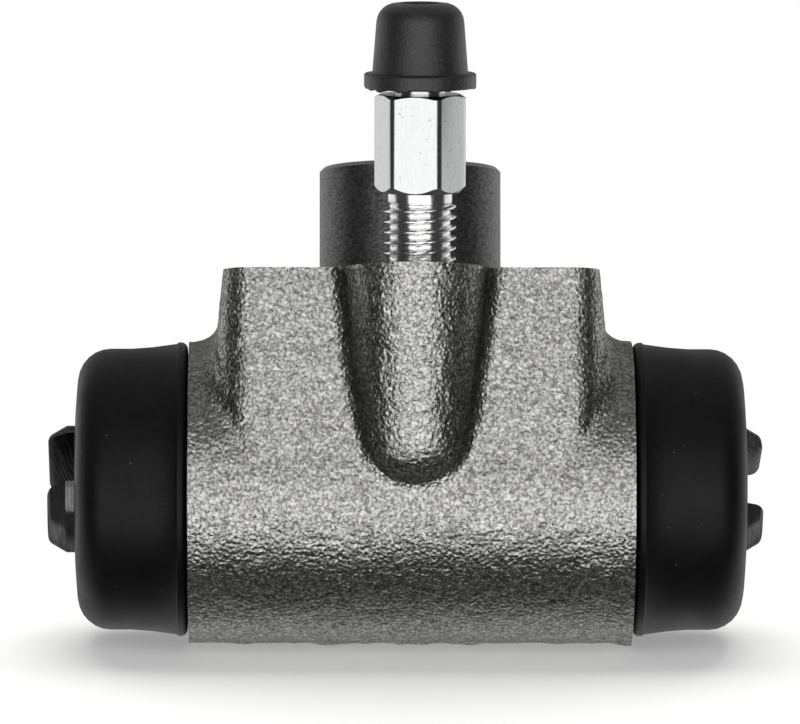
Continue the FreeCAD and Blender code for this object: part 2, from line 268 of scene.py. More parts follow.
# Camera and stage. The floor falls gently towards the camera, which looks up a little.
camera_place = Vector((-11.0, -897.8, -83.1))
camera_target = Vector((-0.98, 0.0, -7.9))
camera_lens = 417.15
lamp_target = Vector((0.0, 0.0, -15.0))
fill_light = 0.3
floor_slope = math.tan(math.radians(14))
floor_gap = 0.2
floor_ridge = 16.0
floor_ridge_top = 24.0
floor_ridge_back = 61.0
floor_level_start = 96.0
floor_step = 0.6
floor_fall_length = 230.0
floor_bend_length = 300.0
floor_bend_fall = 262.0
floor_foot_length = 420.0
floor_low = -100.0
floor_reach = 1500.0


def linear(colour):
    """Turn an sRGB hex colour into linear red, green, blue and alpha."""
    parts = [int(colour[k:k + 2], 16) / 255 for k in (1, 3, 5)]
    return [c / 12.92 if c <= 0.04045 else ((c + 0.055) / 1.055) ** 2.4 for c in parts] + [1.0]


def per(width):
    """Return a pattern's scale from the real width of one of its cells, in millimetres."""
    return 1 / (width * MM)


def add(tree, kind, inputs=(), **settings):
    """Add a node with its settings and inputs.

    The inputs are a dictionary, or a list in the node's own order. Each is a value, a socket, or a
    node, which stands for its first output.
    """
    node = tree.nodes.new(kind)
    for name, value in settings.items():
        setattr(node, name, value)
    for key, value in inputs.items() if isinstance(inputs, dict) else enumerate(inputs):
        if isinstance(value, bpy.types.Node):
            value = value.outputs[0]
        if isinstance(value, bpy.types.NodeSocket):
            tree.links.new(value, node.inputs[key])
        else:
            node.inputs[key].default_value = value
    return node


def start_material(name, roughness, metallic=0.0):
    """Return a new material with its node tree, its shader and its Object coordinates."""
    material = bpy.data.materials.new(name)
    material.use_nodes = True
    tree = material.node_tree
    shader = tree.nodes["Principled BSDF"]
    shader.inputs["Roughness"].default_value = roughness
    shader.inputs["Metallic"].default_value = metallic
    return material, tree, shader, add(tree, "ShaderNodeTexCoord").outputs["Object"]


def finish_surface(tree, shader, colours, pattern, relief, rough=None, spots=None):
    """Give a surface its colours, its relief and its roughness.

    The first two colours are mixed by a pattern between two of its values, and the third lies on the
    spots. The relief is a list of patterns with their heights in millimetres. The roughness follows
    a pattern between two of its values, from one roughness to another.
    """
    share = add(tree, RAMP, pattern)
    colour = add(tree, MIX, {0: share, 6: linear(colours[0]), 7: linear(colours[1])}, data_type="RGBA")
    if spots is not None:
        colour = add(tree, MIX, {0: spots, 6: colour.outputs[2], 7: linear(colours[2])}, data_type="RGBA")
    tree.links.new(colour.outputs[2], shader.inputs["Base Color"])
    height = 0.0
    for shape, size in relief:
        height = add(tree, MATH, [shape, size * MM, height], operation="MULTIPLY_ADD")
    bump = add(tree, "ShaderNodeBump", {"Strength": 1.0, "Distance": 1.0, "Height": height})
    tree.links.new(bump.outputs[0], shader.inputs["Normal"])
    if rough is not None:
        sheen = add(tree, RAMP, rough)
        tree.links.new(sheen.outputs[0], shader.inputs["Roughness"])


def shot_blasted_cast_iron():
    """Grey iron from a sand mould, shot blasted: a fine grain that sparkles, with painted shade in its
    clefts.
    """
    material, tree, shader, place = start_material("shot_blasted_cast_iron", 0.3, 1.0)
    shader.inputs["Specular Tint"].default_value = linear("#b8b8b8")
    grain = add(tree, NOISE, {"Vector": place, "Scale": per(0.36), "Detail": 0.6})
    grit = add(tree, NOISE, {"Vector": place, "Scale": per(0.3), "Detail": 0.7})
    patch = add(tree, NOISE, {"Vector": place, "Scale": per(2.4), "Detail": 3.0})
    flow = add(tree, NOISE, {"Vector": place, "Scale": per(0.75), "Detail": 1.5, "Distortion": 0.8})
    # The clefts are thin winding lines, where the flow crosses its middle value. They dip a little, and
    # painted shade darkens them.
    away = add(tree, MATH, [flow, 0.5], operation="SUBTRACT")
    ridge = add(tree, MATH, [away], operation="ABSOLUTE")
    cleft = add(tree, RAMP, [ridge, 0.0, 0.035, 1.0, 0.0])
    dark = add(tree, MATH, [cleft, 0.75], operation="MULTIPLY")
    # The third colour is painted shade, laid on the clefts
    finish_surface(tree, shader, ("#7b7a78", "#bfbfbd", "#4a4948"), (grit, 0.3, 0.7),
                   [(grain, 0.11), (cleft, -0.012)], (patch, 0.3, 0.7, 0.25, 0.33), dark)
    return material


def worked_metal(name, colours, lay, roughness, depth):
    """Cut, pressed or drawn metal: fine marks of the tool, and a few dark pores.

    The lay gives the marks' size along X, Y and Z, and the depth their height, in millimetres.
    """
    material, tree, shader, place = start_material(name, roughness, 0.95)
    laid = add(tree, "ShaderNodeMapping", {"Vector": place, "Scale": [per(width) for width in lay]})
    marks = add(tree, NOISE, {"Vector": laid, "Scale": 1.0, "Detail": 3.0, "Roughness": 0.7})
    pores = add(tree, NOISE, {"Vector": place, "Scale": per(0.5), "Detail": 4.0})
    pore = add(tree, RAMP, [pores, 0.7, 0.78])
    finish_surface(tree, shader, (*colours, "#2b2a29"), (marks, 0.35, 0.65), [(marks, depth)], spots=pore)
    return material


def bright_zinc_steel(name, colours):
    """Steel with a bright zinc coat: silvery, softly mirrored, with faint pits and drawing marks."""
    material, tree, shader, place = start_material(name, 0.24, 1.0)
    upright = add(tree, "ShaderNodeMapping", {"Vector": place, "Rotation": (-bleed_lean, 0, 0),
                                              "Scale": (per(0.25), per(0.25), per(2.0))})
    drawn = add(tree, NOISE, {"Vector": upright, "Scale": 1.0, "Detail": 3.0})
    specks = add(tree, NOISE, {"Vector": place, "Scale": per(0.35), "Detail": 3.0})
    pit = add(tree, RAMP, [specks, 0.64, 0.72])
    finish_surface(tree, shader, (*colours, "#a6a6a5"), (drawn, 0.0, 1.0),
                   [(drawn, 0.002), (pit, -0.003)], (specks, 0.0, 1.0, 0.14, 0.24), pit)
    return material


def moulded_rubber(name, colours, roughness, gloss, grain, depth):
    """Black EPDM from a mould: satin, with a mottled grain, a patchy sheen and pale specks of dust.

    The grain is the width of its bumps, and the depth their height, in millimetres.
    """
    material, tree, shader, place = start_material(name, roughness)
    shader.inputs["Specular IOR Level"].default_value = gloss
    skin = add(tree, NOISE, {"Vector": place, "Scale": per(grain), "Detail": 4.0, "Roughness": 0.6})
    bloom = add(tree, NOISE, {"Vector": place, "Scale": per(5.0), "Detail": 3.0})
    dust = add(tree, "ShaderNodeTexVoronoi", {"Vector": place, "Scale": per(1.6)}, feature="F1")
    speck = add(tree, RAMP, [dust.outputs["Distance"], 0.03, 0.06, 0.5, 0.0])
    finish_surface(tree, shader, (*colours, "#6d6d6d"), (skin, 0.35, 0.65), [(skin, depth)],
                   (bloom, 0.3, 0.7, roughness - 0.05, roughness + 0.07), speck)
    return material


def phosphated_steel(name, turn, colours, edge, depth):
    """Steel under dark oiled phosphate: dark, with the saw's or the lathe's lines and soft glints.

    The turn is the lines' angle about Z, the edge the tint of grazing reflections, and the depth
    the lines' height in millimetres.
    """
    material, tree, shader, place = start_material(name, 0.3, 0.85)
    shader.inputs["Specular Tint"].default_value = linear(edge)
    lay = (0.2 * MM, 3.0 * MM, 3.0 * MM)
    laid = add(tree, "ShaderNodeMapping", {"Vector": place, "Rotation": (0, 0, turn), "Scale": lay},
               vector_type="TEXTURE")
    marks = add(tree, NOISE, {"Vector": laid, "Scale": 1.0, "Detail": 3.0, "Roughness": 0.6})
    cloud = add(tree, NOISE, {"Vector": place, "Scale": per(1.4), "Detail": 4.0})
    finish_surface(tree, shader, colours, (marks, 0.35, 0.65), [(marks, depth)],
                   (cloud, 0.3, 0.7, 0.12, 0.2))
    return material


def make_piece(name, points, faces, materials):
    """Make a mesh from points in millimetres, with its doubles merged and its faces outwards."""
    mesh = bpy.data.meshes.new(name)
    mesh.from_pydata(np.asarray(points, float).tolist(), [], faces)
    for material in materials:
        mesh.materials.append(material)
    work = bmesh.new()
    work.from_mesh(mesh)
    bmesh.ops.remove_doubles(work, verts=work.verts, dist=same_point)
    loose = [edge for edge in work.edges if not edge.link_faces]
    bmesh.ops.delete(work, geom=loose, context="EDGES")
    bmesh.ops.recalc_face_normals(work, faces=work.faces)
    work.to_mesh(mesh)
    work.free()
    piece = bpy.data.objects.new(name, mesh)
    bpy.context.scene.collection.objects.link(piece)
    return piece


def settle(piece):
    """Turn a piece and its modifiers into a plain mesh."""
    shape = piece.evaluated_get(bpy.context.evaluated_depsgraph_get())
    mesh = bpy.data.meshes.new_from_object(shape, depsgraph=bpy.context.evaluated_depsgraph_get())
    piece.modifiers.clear()
    piece.data = mesh
    return piece


def combine(piece, operation, *others):
    """Add the other pieces to a piece, or cut it with them."""
    for other in others:
        change = piece.modifiers.new("combine", "BOOLEAN")
        change.operation = operation
        change.solver = "EXACT"
        change.object = other
        settle(piece)
        bpy.data.objects.remove(other)
    return piece


def finished(piece, angle):
    """Bring a piece to metres, and shade it smooth apart from edges sharper than an angle in degrees."""
    # Cuts leave slivers without width, which would count as open edges
    work = bmesh.new()
    work.from_mesh(piece.data)
    bmesh.ops.dissolve_degenerate(work, dist=sliver_width, edges=work.edges)
    work.to_mesh(piece.data)
    work.free()
    piece.data.transform(Matrix.Scale(MM, 4))
    piece.data.polygons.foreach_set("use_smooth", [True] * len(piece.data.polygons))
    piece.data.set_sharp_from_angle(angle=math.radians(angle))
    return piece


def paint(piece, slot):
    """Give all of a piece's faces one of its material slots."""
    piece.data.polygons.foreach_set("material_index", [slot] * len(piece.data.polygons))
    return piece


def put(piece, place):
    """Move a piece's mesh to its place."""
    piece.data.transform(place)
    return piece


def on_bore(side):
    """Return the place of a piece made about +Z, at the right end of the bore (1) or the left (-1)."""
    return Matrix.Translation((0, 0, bore_height)) @ Matrix.Rotation(side * math.pi / 2, 4, "Y")


def on_bleed_axis():
    """Return the place of a piece made about +Z, on the leaning axis of the bleed screw."""
    return Matrix.Translation(bleed_foot) @ Matrix.Rotation(bleed_lean, 4, "X")


def rounded(points, steps=6):
    """Return an outline as plain points. A point is (r, z), or (r, z, radius) for a round corner."""
    outline = []
    for i, point in enumerate(points):
        corner = Vector(point[:2])
        if len(point) == 2:
            outline.append(corner)
            continue
        back = (Vector(points[i - 1][:2]) - corner).normalized()
        on = (Vector(points[(i + 1) % len(points)][:2]) - corner).normalized()
        half = back.angle(on) / 2
        centre = corner + (back + on).normalized() * point[2] / math.sin(half)
        start = corner + back * point[2] / math.tan(half) - centre
        sweep = start.angle_signed(corner + on * point[2] / math.tan(half) - centre)
        for k in range(steps + 1):
            turn = -sweep * k / steps
            outline.append(centre + Vector((start.x * math.cos(turn) - start.y * math.sin(turn),
                                            start.x * math.sin(turn) + start.y * math.cos(turn))))
    return outline


def turned(name, points, materials, segments=96):
    """Turn a closed outline of (r, z) points about Z."""
    outline = rounded(points)
    count = len(outline)
    places = []
    faces = []
    for k in range(segments):
        angle = 2 * math.pi * k / segments
        places += [(p.x * math.cos(angle), p.x * math.sin(angle), p.y) for p in outline]
        here = k * count
        there = (k + 1) % segments * count
        faces += [(here + i, there + i, there + (i + 1) % count, here + (i + 1) % count)
                  for i in range(count)]
    return make_piece(name, places, faces, materials)


def prism(name, outline, low, high, materials):
    """Raise an outline in the XY plane from one height to another."""
    count = len(outline)
    points = [(p.x, p.y, z) for z in (low, high) for p in outline]
    faces = [tuple(range(count)), tuple(range(count, 2 * count))]
    faces += [(i, (i + 1) % count, count + (i + 1) % count, count + i) for i in range(count)]
    return make_piece(name, points, faces, materials)


def start_tree(name, sizes, counts):
    """Return a new Geometry Nodes tree and its named inputs: sizes, counts and the finish."""
    tree = bpy.data.node_groups.new(name, "GeometryNodeTree")
    for kind, names in (("Float", sizes), ("Int", counts), ("Material", ("Finish",))):
        for socket in names:
            tree.interface.new_socket(socket, in_out="INPUT", socket_type="NodeSocket" + kind)
    tree.interface.new_socket("Shape", in_out="OUTPUT", socket_type="NodeSocketGeometry")
    return tree, add(tree, "NodeGroupInput").outputs


def end_tree(tree, given, shape):
    """Finish a Geometry Nodes tree: make its shape real and give it its finish."""
    plain = add(tree, "GeometryNodeRealizeInstances", {"Geometry": shape})
    coated = add(tree, "GeometryNodeSetMaterial", {"Geometry": plain, "Material": given["Finish"]})
    add(tree, "NodeGroupOutput", {"Shape": coated})
    return tree


def polar_place(tree, angle, radius, height):
    """Return the place at an angle about Z, a distance from it and a height."""
    cosine = add(tree, MATH, [angle], operation="COSINE")
    sine = add(tree, MATH, [angle], operation="SINE")
    x = add(tree, MATH, [radius, cosine], operation="MULTIPLY")
    y = add(tree, MATH, [radius, sine], operation="MULTIPLY")
    return add(tree, "ShaderNodeCombineXYZ", [x, y, height])


def thread_tree():
    """Geometry Nodes for a threaded rod that stands on the XY plane: a grid rolled into a tube."""
    tree, given = start_tree("threaded_rod", ("Length", "Radius", "Depth", "Pitch", "Phase"),
                             ("Around", "Rows"))
    rows = add(tree, MATH, [given["Rows"], 2.0], operation="ADD")
    grid = add(tree, "GeometryNodeMeshGrid", {"Size X": 1.0, "Size Y": 1.0,
                                              "Vertices X": given["Around"], "Vertices Y": rows})
    place = add(tree, "ShaderNodeSeparateXYZ", [add(tree, "GeometryNodeInputPosition")]).outputs
    round_share = add(tree, MATH, [place["X"], 0.5], operation="ADD")
    up_share = add(tree, MATH, [place["Y"], 0.5], operation="ADD")
    last = add(tree, MATH, [given["Rows"], 1.0], operation="ADD")
    row = add(tree, MATH, [up_share, last], operation="MULTIPLY")
    # The first and last rows shrink to a point, which closes the rod's ends
    height = add(tree, RAMP, [row, 1.0, given["Rows"], 0.0, given["Length"]])
    above = add(tree, MATH, [row, 0.5], operation="GREATER_THAN")
    almost = add(tree, MATH, [given["Rows"], 0.5], operation="ADD")
    below = add(tree, MATH, [row, almost], operation="LESS_THAN")
    between = add(tree, MATH, [above, below], operation="MULTIPLY")
    # The groove climbs by one pitch a turn. The flank is the distance from the middle of the crest.
    flank = height
    for operation, value in (("DIVIDE", given["Pitch"]), ("ADD", given["Phase"]),
                             ("SUBTRACT", round_share), ("FRACT", 0.0), ("SUBTRACT", 0.5),
                             ("ABSOLUTE", 0.0)):
        flank = add(tree, MATH, [flank, value], operation=operation)
    groove = add(tree, RAMP, [flank, thread_crest_end, thread_root_start, 0.0, given["Depth"]])
    cut = add(tree, MATH, [given["Radius"], groove], operation="SUBTRACT")
    radius = add(tree, MATH, [cut, between], operation="MULTIPLY")
    angle = add(tree, MATH, [round_share, 2 * math.pi], operation="MULTIPLY")
    spot = polar_place(tree, angle, radius, height)
    rolled = add(tree, "GeometryNodeSetPosition", {"Geometry": grid.outputs["Mesh"], "Position": spot})
    closed = add(tree, "GeometryNodeMergeByDistance", {"Geometry": rolled, "Distance": same_point})
    return end_tree(tree, given, closed)


def spring_tree():
    """Geometry Nodes for part of a spring along Z, with its end turns almost closed."""
    tree, given = start_tree("coil_spring", ("Wire", "Radius", "First", "Turns", "All Turns", "End Turns",
                                             "Closed", "Pitch", "Start"), ("Points",))
    line = add(tree, "GeometryNodeMeshLine", {"Count": given["Points"]})
    last = add(tree, MATH, [given["Points"], 1.0], operation="SUBTRACT")
    index = add(tree, "GeometryNodeInputIndex")
    share = add(tree, MATH, [index, last], operation="DIVIDE")
    turn = add(tree, MATH, [share, given["Turns"], given["First"]], operation="MULTIPLY_ADD")
    # Turns near either end climb by the closed pitch, and those between by the open one
    near = add(tree, MATH, [turn, given["End Turns"]], operation="MINIMUM")
    open_end = add(tree, MATH, [given["All Turns"], given["End Turns"]], operation="SUBTRACT")
    past = add(tree, MATH, [turn, open_end], operation="SUBTRACT")
    far = add(tree, MATH, [past, 0.0], operation="MAXIMUM")
    flat = add(tree, MATH, [near, far], operation="ADD")
    rising = add(tree, MATH, [turn, flat], operation="SUBTRACT")
    base = add(tree, MATH, [flat, given["Closed"], given["Start"]], operation="MULTIPLY_ADD")
    height = add(tree, MATH, [rising, given["Pitch"], base], operation="MULTIPLY_ADD")
    angle = add(tree, MATH, [turn, 2 * math.pi], operation="MULTIPLY")
    spot = polar_place(tree, angle, given["Radius"], height)
    wound = add(tree, "GeometryNodeSetPosition", {"Geometry": line, "Position": spot})
    path = add(tree, "GeometryNodeMeshToCurve", {"Mesh": wound})
    wire = add(tree, "GeometryNodeCurvePrimitiveCircle",
               {"Resolution": spring_wire_sides, "Radius": given["Wire"]}, mode="RADIUS")
    coil = add(tree, "GeometryNodeCurveToMesh", {"Curve": path, "Profile Curve": wire, "Fill Caps": True})
    return end_tree(tree, given, coil)


def grown(name, tree, **values):
    """Make a piece with a Geometry Nodes tree and its named inputs."""
    piece = make_piece(name, [], [], [])
    modifier = piece.modifiers.new("grow", "NODES")
    modifier.node_group = tree
    for item in tree.interface.items_tree:
        key = item.name.lower().replace(" ", "_")
        if item.in_out == "INPUT" and key in values:
            modifier[item.identifier] = values[key]
    return settle(piece)


def threaded_rod(name, finishes, slot, length, radius, around=64, phase=0.0):
    """Return a threaded rod of a length and outer radius in millimetres, standing on z = 0."""
    rows = round(length / thread_pitch * thread_rows) + 1
    rod = grown(name, rod_tree, length=length, radius=radius, depth=thread_depth, pitch=thread_pitch,
                phase=phase, around=around + 1, rows=rows, finish=finishes[slot])
    rod.data.materials.clear()
    for finish in finishes:
        rod.data.materials.append(finish)
    return paint(rod, slot)


def surface_net(field, corner, step):
    """Return the points and faces of the surface where a sampled field crosses zero."""
    inside = field < 0
    cells = np.array(field.shape) - 1
    total = np.zeros((*cells, 3))
    count = np.zeros(cells)
    crossings = []
    for axis in range(3):
        low = [slice(None)] * 3
        high = [slice(None)] * 3
        low[axis] = slice(0, -1)
        high[axis] = slice(1, None)
        first, second = field[tuple(low)], field[tuple(high)]
        crossed = inside[tuple(low)] != inside[tuple(high)]
        share = np.where(crossed, first / np.where(crossed, first - second, 1), 0)
        point = np.stack(np.indices(first.shape).astype(float), axis=-1)
        point[..., axis] += share
        others = [k for k in range(3) if k != axis]
        for p in (0, 1):
            for q in (0, 1):
                part = [slice(None)] * 3
                part[others[0]] = slice(p, p + cells[others[0]])
                part[others[1]] = slice(q, q + cells[others[1]])
                part = tuple(part)
                total += point[part] * crossed[part][..., None]
                count += crossed[part]
        crossings.append(crossed)
    found = count > 0
    number = np.full(cells, -1)
    number[found] = np.arange(found.sum())
    points = np.array(corner) + step * total[found] / count[found][:, None]
    faces = []
    for axis in range(3):
        second, third = (axis + 1) % 3, (axis + 2) % 3
        places = np.argwhere(crossings[axis])
        places = places[(places[:, second] > 0) & (places[:, third] > 0)
                        & (places[:, second] < cells[second]) & (places[:, third] < cells[third])]
        ring = []
        for back_second, back_third in ((1, 1), (0, 1), (0, 0), (1, 0)):
            cell = places.copy()
            cell[:, second] -= back_second
            cell[:, third] -= back_third
            ring.append(number[tuple(cell.T)])
        ring = np.stack(ring, axis=1)
        outward = inside[tuple(places.T)]
        ring[~outward] = ring[~outward][:, ::-1]
        faces.append(ring)
    return points, np.concatenate(faces).tolist()


def blended(first, second, radius, step):
    """Join two distance fields with the fillet that a rolling ball leaves between them."""
    slopes = [np.gradient(part, step) for part in (first, second)]
    # Where the two surfaces are nearly parallel, the ball would have no place to rest
    along = np.clip(sum(a * b for a, b in zip(*slopes)), -nearly_parallel, nearly_parallel)
    over = radius - first
    under = radius - second
    ball = np.sqrt(np.maximum(over ** 2 + under ** 2 - 2 * along * over * under, 0) / (1 - along ** 2))
    between = (over > 0) & (under > 0) & (over > along * under) & (under > along * over)
    return np.where(between, radius - ball, np.minimum(first, second))


def casting_field(x, y, z):
    """Return the distance from the rough casting's surface, negative inside the iron."""
    barrel = np.hypot(y, z - bore_height + barrel_drop) - barrel_radius
    # The column widens downwards, and its foot narrows again inside the barrel
    drafted = np.clip(-z, 0, column_drafted_depth)
    narrowing = column_foot_taper * np.clip(bore_height + column_foot_height - z, 0, None)
    corner = column_corner + column_corner_growth * drafted
    side = np.abs(x) - column_half_width - column_draft * drafted + corner
    front = np.abs(y) - column_half_depth + narrowing + corner
    column = np.hypot(np.maximum(side, 0), np.maximum(front, 0)) + np.minimum(np.maximum(side, front), 0)
    column = np.maximum(column - corner, bore_height - column_end_depth - z)
    body = blended(barrel, column, column_root_fillet, casting_step)
    # The bleed boss is a cone on the leaning axis that ends in a round nose
    height = boss_drop / bleed_axis.z
    end_radius = boss_radius * math.cos(boss_draft) - height * math.sin(boss_draft)
    centre = bleed_foot - bleed_axis * height
    offset = [x - centre.x - boss_side, y - centre.y, z - centre.z]
    along = sum(o * a for o, a in zip(offset, bleed_axis))
    whole = sum(o ** 2 for o in offset)
    across = np.sqrt(np.maximum(whole - along ** 2, 0))
    on_side = along * math.cos(boss_draft) + across * math.sin(boss_draft) > 0
    cone = across * math.cos(boss_draft) - along * math.sin(boss_draft)
    boss = np.where(on_side, cone, np.sqrt(whole)) - end_radius
    return blended(body, boss, boss_fillet, casting_step)


def sand_skin(point):
    """Return how far the casting's skin stands out at a point, in millimetres."""
    skin = sum(noise.noise(point / width + Vector(shift)) * height for width, height, shift in skin_bumps)
    # A thin, uneven parting line runs round the casting halfway through its depth
    along = Vector((point.x / parting_break, parting_shift, point.z / parting_break))
    broken = max(0.0, noise.noise(along) + parting_cover)
    return skin + parting_height * broken * math.exp(-(point.y / parting_half_width) ** 2)


def rough_casting(finishes):
    """Return the rough casting, cut flat where its mounting face and its ends are machined."""
    low = np.array([-body_half - casting_margin, *casting_low])
    high = np.array([body_half + casting_margin, *casting_high])
    axes = [np.arange(a, b + casting_step, casting_step) for a, b in zip(low, high)]
    x, y, z = np.meshgrid(*axes, indexing="ij")
    field = np.maximum(casting_field(x, y, z), np.abs(x) - body_half - casting_margin / 2)
    points, faces = surface_net(field, low, casting_step)
    piece = make_piece("casting", points, faces, finishes)
    mesh = piece.data
    for vertex, normal in zip(mesh.vertices, [n.vector.copy() for n in mesh.vertex_normals]):
        vertex.co += normal * sand_skin(vertex.co)
    work = bmesh.new()
    work.from_mesh(mesh)
    for direction, distance in ((Vector((0, 0, 1)), 0.0), (Vector((1, 0, 0)), body_half),
                                (Vector((-1, 0, 0)), body_half)):
        whole = work.verts[:] + work.edges[:] + work.faces[:]
        cut = bmesh.ops.bisect_plane(work, geom=whole, dist=same_point, plane_co=direction * distance,
                                     plane_no=direction, clear_outer=True)["geom_cut"]
        rim = [part for part in cut if isinstance(part, bmesh.types.BMEdge)]
        bmesh.ops.edgeloop_fill(work, edges=rim, mat_nr=milled_slot)
    bmesh.ops.recalc_face_normals(work, faces=work.faces)
    work.to_mesh(mesh)
    work.free()
    return piece


def tapped_hole(name, radius, depth, finishes):
    """Return what a drill and a tap take out downwards from z = 0."""
    core = radius - thread_depth - tap_drill_allowance
    rim = radius + hole_chamfer
    rod = threaded_rod(name, finishes, turned_slot, depth, radius)
    put(rod, Matrix.Translation((0, 0, tap_start - depth)))
    # The drill has other sides than the thread, so that no face of one lies in a face of the other
    point = turned(name + "_point", [(0, -depth - core / drill_slope), (core, -depth),
                                     (core, overlap - depth), (0, overlap - depth)],
                   finishes, segments=60)
    mouth = turned(name + "_mouth", [(0, overlap), (rim, overlap), (rim, 0), (core, core - rim),
                                     (0, core - rim)], finishes, segments=60)
    return combine(rod, "UNION", paint(point, turned_slot), paint(mouth, turned_slot))


def make_casting(finishes):
    """Make the machined casting in one piece. The finishes are skin, milled, turned, pilot, honed."""
    casting = rough_casting(finishes)
    end = spigot_end
    groove_end = body_half + bead_groove_width
    spigots = turned("spigots", [
        (0, -end), (spigot_radius - edge_break, -end), (spigot_radius, edge_break - end),
        (spigot_radius, -groove_end), (bead_groove_radius, -groove_end), (bead_groove_radius, groove_end),
        (spigot_radius, groove_end), (spigot_radius, end - edge_break), (spigot_radius - edge_break, end),
        (0, end)], finishes, segments=128)
    pilot = turned("pilot", [
        (0, -pilot_root), (pilot_radius, -pilot_root), (pilot_radius, pilot_height - pilot_chamfer),
        (pilot_radius - pilot_chamfer, pilot_height), (0, pilot_height)], finishes, segments=128)
    paint(pilot, pilot_slot)
    for polygon in pilot.data.polygons:
        # Only the faces of its chamfer look halfway up
        if 0.3 < polygon.normal.z < 0.9:
            polygon.material_index = milled_slot
    mouth = bore_radius + mouth_chamfer
    bore = turned("bore", [
        (0, -end - overlap), (mouth, -end - overlap), (mouth, -end), (bore_radius, mouth_chamfer - end),
        (bore_radius, end - mouth_chamfer), (mouth, end), (mouth, end + overlap), (0, end + overlap)],
        finishes, segments=128)
    relief = turned("relief", [(0, -relief_depth), (relief_radius, -relief_depth),
                               (relief_radius, overlap), (0, overlap)], finishes)
    put(paint(relief, milled_slot), Matrix.Translation((bleed_foot.x, bleed_foot.y, 0)))
    combine(casting, "DIFFERENCE", relief)
    combine(casting, "UNION", put(paint(spigots, turned_slot), on_bore(1)), pilot)
    inlet = tapped_hole("inlet", inlet_radius, inlet_depth, finishes)
    put(inlet, Matrix.Translation((0, 0, pilot_height)))
    feed = turned("feed", [(0, bore_height), (feed_radius, bore_height), (feed_radius, 0), (0, 0)],
                  finishes, segments=32)
    # The bleed hole ends in the conical seat of the screw's tip
    bleed = turned("bleed", [(0, overlap), (bleed_hole_radius, overlap), (bleed_hole_radius, 0),
                             (bleed_hole_radius, -bleed_hole_depth),
                             (0, -bleed_hole_depth - bleed_hole_radius)], finishes, segments=64)
    cuts = [put(paint(bore, honed_slot), on_bore(1)), inlet, paint(feed, turned_slot),
            put(paint(bleed, turned_slot), on_bleed_axis())]
    for side in (-1, 1):
        hole = tapped_hole("mount_hole", mount_hole_radius, mount_hole_depth, finishes)
        cuts.append(put(hole, Matrix.Translation((side * mount_hole_place, 0, 0))))
    combine(casting, "DIFFERENCE", *cuts)
    finished(casting, angle=38)
    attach(casting, "cylinder")
    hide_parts("housing")
    return casting


def make_screw(finishes):
    """Make the bleed screw in one piece. The finishes are the hexagon's and the rolled thread's."""
    head = hex_foot + hex_length
    barb = head + nipple_neck_length
    tip = head + nipple_length
    shank = turned("shank", [
        (0, screw_seat + screw_tip_radius), (screw_tip_radius, screw_seat + screw_tip_radius),
        (shank_radius, screw_seat + shank_radius), (shank_radius, screw_thread_foot + overlap),
        (0, screw_thread_foot + overlap)], finishes, segments=64)
    body = threaded_rod("bleed_screw_body", finishes, rolled_slot, screw_thread_top - screw_thread_foot,
                        screw_thread_radius, around=72, phase=screw_thread_phase)
    put(body, Matrix.Translation((0, 0, screw_thread_foot)))
    neck = turned("neck", [
        (0, neck_start - neck_flare), (neck_radius - neck_flare, neck_start - neck_flare),
        (neck_radius, neck_start), (neck_radius, hex_foot + overlap), (0, hex_foot + overlap)],
        finishes, segments=80)
    paint(neck, rolled_slot)
    # The hexagon's ends are turned to cones, which leaves the curved edges of its flats
    corner = hex_across_flats / math.sqrt(3)
    reach = corner + overlap
    rise = (reach - hex_face_radius) * math.tan(hex_foot_chamfer)
    fall = (reach - hex_face_radius) * math.tan(hex_head_chamfer)
    corners = [(corner * math.cos(math.pi * k / 3), corner * math.sin(math.pi * k / 3), hex_corner)
               for k in range(6)]
    hexagon = prism("hexagon", rounded(corners, steps=4), hex_foot, head, finishes)
    put(hexagon, Matrix.Rotation(hex_turn, 4, "Z"))
    chamfers = turned("chamfers", [(0, hex_foot), (hex_face_radius, hex_foot), (reach, hex_foot + rise),
                                   (reach, head - fall), (hex_face_radius, head), (0, head)], finishes)
    combine(hexagon, "INTERSECT", chamfers)
    nipple = turned("nipple", [
        (0, head - overlap), (nipple_neck_radius, head - overlap), (nipple_neck_radius, barb - edge_break),
        (nipple_barb_radius, barb), (nipple_barb_radius, barb + edge_break),
        (nipple_tip_radius, tip, edge_break), (0, tip)], finishes, segments=64)
    combine(body, "UNION", shank, neck, hexagon, nipple)
    drilled = turned("nipple_bore", [(0, nipple_bore_foot), (nipple_bore_radius, nipple_bore_foot),
                                     (nipple_bore_radius, tip + overlap), (0, tip + overlap)],
                     finishes, segments=32)
    combine(body, "DIFFERENCE", drilled)
    finished(put(body, on_bleed_axis()), angle=30)
    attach(body, "bleed_screw")
    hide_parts("bleed_screw")
    return body


def ring_noise(angle, radius, height):
    """Return a noise that closes on itself after a turn, and changes faster on a wider ring."""
    return noise.noise(Vector((math.cos(angle) * radius, math.sin(angle) * radius, height)))


